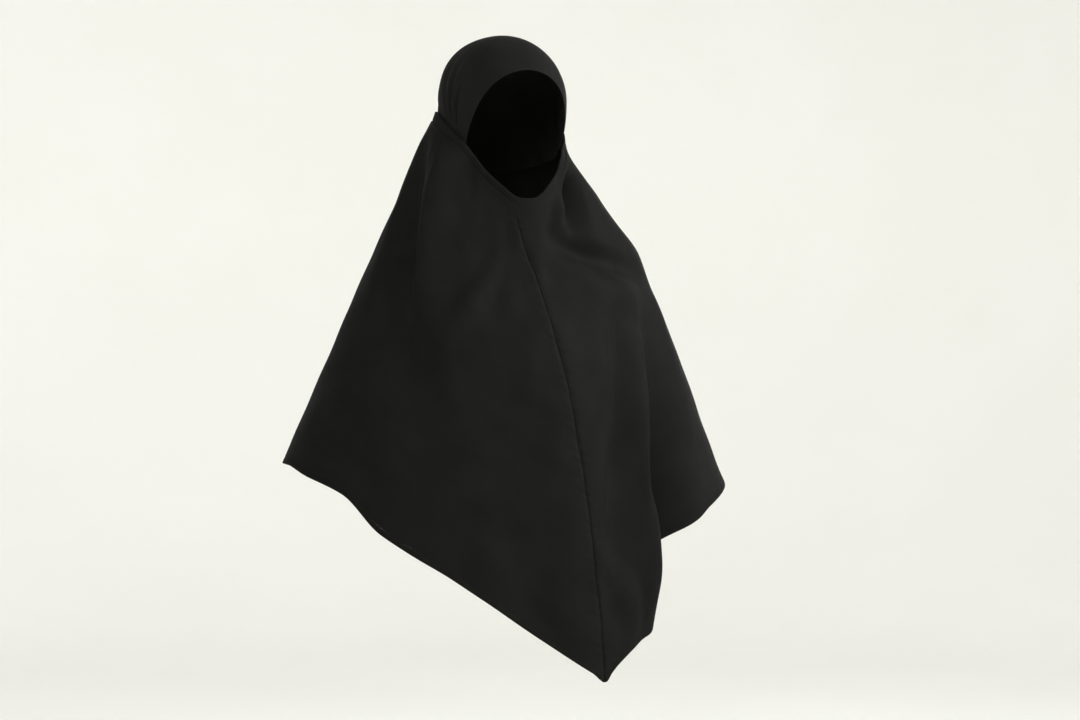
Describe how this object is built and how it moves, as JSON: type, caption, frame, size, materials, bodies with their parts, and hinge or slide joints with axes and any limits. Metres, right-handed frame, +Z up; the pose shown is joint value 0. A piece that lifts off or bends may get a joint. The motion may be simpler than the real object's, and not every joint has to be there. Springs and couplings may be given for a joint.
{
  "type": "cape headscarf",
  "caption": "Long pointed cape headscarf in matt black crepe: a close hood gathered by the ears and a draped cape with a front seam, held up at the crown.",
  "frame": {"origin": "inside of the hood at the top of the crown, where it sits on the head", "axes": "+Z up, -Y out of the face opening, +X the wearer's left"},
  "size_m": [0.6888, 0.4212, 0.8998],
  "materials": {
    "black_crepe": "fine matt black crepe with a soft silky sheen",
    "black_sewn_edge": "the same black crepe, doubled and sewn"
  },
  "bodies": {
    "root": {"crown_hood": "black_crepe", "cape_right": "black_crepe", "cape_left": "black_crepe", "chin_band": "black_sewn_edge", "front_seam": "black_sewn_edge", "back_seam": "black_sewn_edge", "hem_right": "black_sewn_edge", "hem_left": "black_sewn_edge"}
  },
  "joints": []
}
